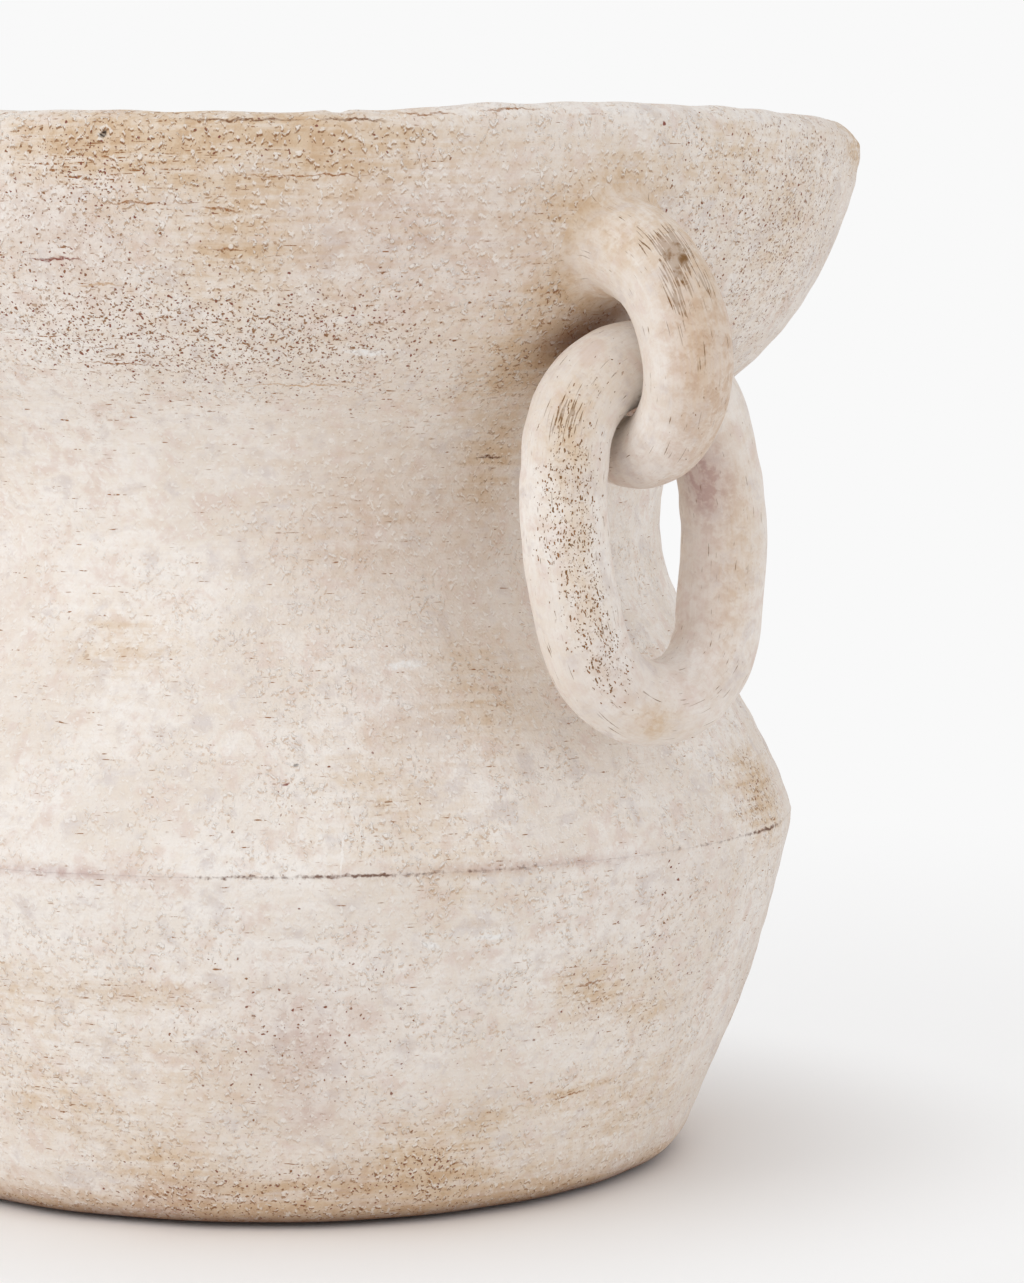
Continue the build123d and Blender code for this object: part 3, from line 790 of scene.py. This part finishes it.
# Marks on the coils: distance along, angle round, reach along and round, strength
LUG_MARKS = {
    "dash": [
        (21, -8, 4, 28, 1.5), (26, -14, 6, 20, 1.9), (33, -36, 5, 12, 1.6), (31, 14, 5, 9, 1.4),
        (46, -20, 4, 5, 1.1),
    ],
    # (6, 170) darkens the crevice beneath the root, partly dirt and partly painted shade; (44, 26) and
    # (44, -30) darken the lug's outer right part, partly tint and partly painted shade.
    "stain_and_shade": [
        (28, -10, 14, 40, 0.3), (44, 26, 32, 50, 0.42), (44, -30, 12, 30, 0.5), (12, -55, 10, 30, 0.4),
        (60, 0, 16, 60, 0.08), (6, 170, 8, 70, 0.8), (10, 60, 12, 60, 0.4),
    ],
    # (6, 170) darkens the crevice beneath the root, and (48, 20) and (44, -30) the lug's outer right part:
    # partly tint, partly painted shade.
    "mauve_and_shade": [
        (48, 20, 26, 50, 0.52), (44, -30, 14, 30, 0.5), (36, -30, 10, 26, 0.3), (80, -50, 20, 60, 0.25),
        (6, 170, 8, 70, 0.5),
    ],
    "pits": [
        (64, 0, 14, 40, 0.06),
    ],
}
RING_MARKS = {
    "dash": [
        (209, 130, 5, 24, 1.5),
    ],
    "stain_and_shade": [
        (205, 130, 12, 30, 0.5), (176, 112, 30, 22, 0.35), (126, 120, 6, 22, 0.6),
        (70, 70, 30, 30, 0.35),
    ],
    "pits": [
        (190, 122, 18, 34, 1.2), (176, 110, 14, 20, 1.6), (158, 108, 10, 22, 1.6),
        (147, 104, 8, 28, 0.9),
    ],
    "mauve_and_shade": [
        (45, 32, 11, 34, 1.5), (110, 60, 20, 60, 0.2), (142, 105, 12, 40, 0.3), (75, 40, 24, 50, 0.4),
    ],
}

make_upper_body()
make_lower_bowl()
make_lug("coil_lug_right", "lug_right", 1, 31, LUG_MARKS)
make_lug("coil_lug_left", "lug_left", -1, 41, LUG_MARKS)
make_ring("loose_ring_right", "right_ring", "ring_right", 1, 51, RING_MARKS)
make_ring("loose_ring_left", "left_ring", "ring_left", -1, 61, RING_MARKS)

# Stage
BACKGROUND = "#f9f9f9"
FLOOR_COLOUR = "#f8f6f4"
FLOOR_HALF = 9  # in metres
floor_mesh = bpy.data.meshes.new("floor")
floor_corners = [(x * FLOOR_HALF, y * FLOOR_HALF, 0) for x, y in ((-1, -1), (1, -1), (1, 1), (-1, 1))]
floor_mesh.from_pydata(floor_corners, [], [(0, 1, 2, 3)])
floor = bpy.data.objects.new("floor", floor_mesh)
bpy.context.scene.collection.objects.link(floor)
paper = bpy.data.materials.new("matte_white_paper")
paper.use_nodes = True
tree = paper.node_tree
tree.nodes.clear()
away = add(tree, "VectorMath", [add(tree, "TexCoord", out="Object")], out="Value", operation="LENGTH")
near = add(tree, "MapRange", [away, 0.12, 0.25, 0.0, 0.75], interpolation_type="SMOOTHSTEP")
far = add(tree, "MapRange", [away, 0.25, 0.85, 0.0, 0.27], interpolation_type="SMOOTHSTEP")
fade = add(tree, "Math", [near, far], operation="ADD")
seen = add(tree, "Math", [fade, add(tree, "LightPath", out="Is Camera Ray")], operation="MULTIPLY")
matte = {"Base Color": linear(FLOOR_COLOUR), "Roughness": 0.9, "Specular IOR Level": 0.1}
sheet = add(tree, "BsdfPrincipled", matte)
glow = add(tree, "Emission", {"Color": linear(BACKGROUND), "Strength": 1.0})
add(tree, "OutputMaterial", {"Surface": add(tree, "MixShader", [seen, sheet, glow])})
floor_mesh.materials.append(paper)

world = bpy.data.worlds.new("studio")
bpy.context.scene.world = world
world.use_nodes = True
tree = world.node_tree
tree.nodes.clear()
path = add(tree, "LightPath", out="Is Camera Ray").node
rays = [path.outputs["Is Camera Ray"], path.outputs["Is Glossy Ray"]]
shown = add(tree, "Math", rays, operation="MAXIMUM")
shown = add(tree, "Math", [shown, path.outputs["Is Transmission Ray"]], operation="MAXIMUM")
ambient = add(tree, "Background", {"Color": linear("#fbfbfd"), "Strength": 0.75})
backdrop = add(tree, "Background", {"Color": linear(BACKGROUND), "Strength": 1.0})
add(tree, "OutputWorld", {"Surface": add(tree, "MixShader", [shown, ambient, backdrop])})


def softbox(name, place, aim, size, power):
    """A square soft light at a place, facing a point."""
    data = bpy.data.lights.new(name, "AREA")
    data.size = size
    data.energy = power
    lamp = bpy.data.objects.new(name, data)
    lamp.location = place
    lamp.rotation_euler = (Vector(aim) - Vector(place)).to_track_quat("-Z", "Y").to_euler()
    bpy.context.scene.collection.objects.link(lamp)


softbox("key_left", (-0.03, -1.56, 1.0), (0, 0, 0.1), 1.4, 9.5)
softbox("fill_right", (1.6, 0.5, 0.7), (0, 0, 0.12), 1.4, 3)

# Camera, where the photograph was taken from: its distance and height, and its turn from the lug's side
CAMERA_AWAY = 1244.1
CAMERA_HEIGHT = 261.0
CAMERA_TURN = radians(33.0)
PAN = radians(3.134)
TILT = radians(5.183)
FOCAL_PIXELS = 4257.9
PICTURE_HEIGHT = 1283
SENSOR = 36.0
camera_data = bpy.data.cameras.new("camera")
camera_data.sensor_width = SENSOR
camera_data.lens = FOCAL_PIXELS / PICTURE_HEIGHT * SENSOR
camera = bpy.data.objects.new("camera", camera_data)
east = CAMERA_AWAY * cos(CAMERA_TURN)
south = CAMERA_AWAY * sin(CAMERA_TURN)
camera.location = Vector((east, -south, CAMERA_HEIGHT)) * MM
ahead = Vector((-cos(CAMERA_TURN + PAN) * cos(TILT), sin(CAMERA_TURN + PAN) * cos(TILT), -sin(TILT)))
camera.rotation_euler = ahead.to_track_quat("-Z", "Y").to_euler()
bpy.context.scene.collection.objects.link(camera)
bpy.context.scene.camera = camera
bpy.context.scene.view_settings.view_transform = "Standard"
